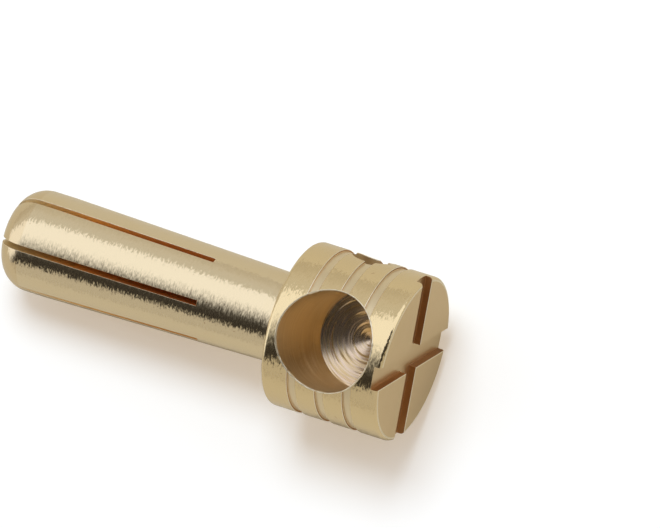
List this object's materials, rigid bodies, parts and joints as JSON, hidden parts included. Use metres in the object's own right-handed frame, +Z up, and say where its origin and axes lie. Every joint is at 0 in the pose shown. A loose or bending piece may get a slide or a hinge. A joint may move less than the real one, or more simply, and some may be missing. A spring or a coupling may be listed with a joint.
{
  "type": "bullet connector",
  "caption": "Low-profile gold-plated bullet connector: a grooved head with a cross-drilled solder cup, and a plug pin with sprung, slotted leaves.",
  "frame": {"origin": "middle of the part's footprint box, on the surface that it lies on", "axes": "-X along the pin towards its tip, which points slightly down; +X towards the head's end face; +Z up, out of the solder cup"},
  "size_m": [0.0218, 0.008, 0.0087],
  "materials": {
    "gold_plate": "brass with a bright pale gold plating, fine turning marks and burred sawn edges"
  },
  "bodies": {
    "root": {"bullet_connector": "gold_plate"}
  },
  "joints": []
}
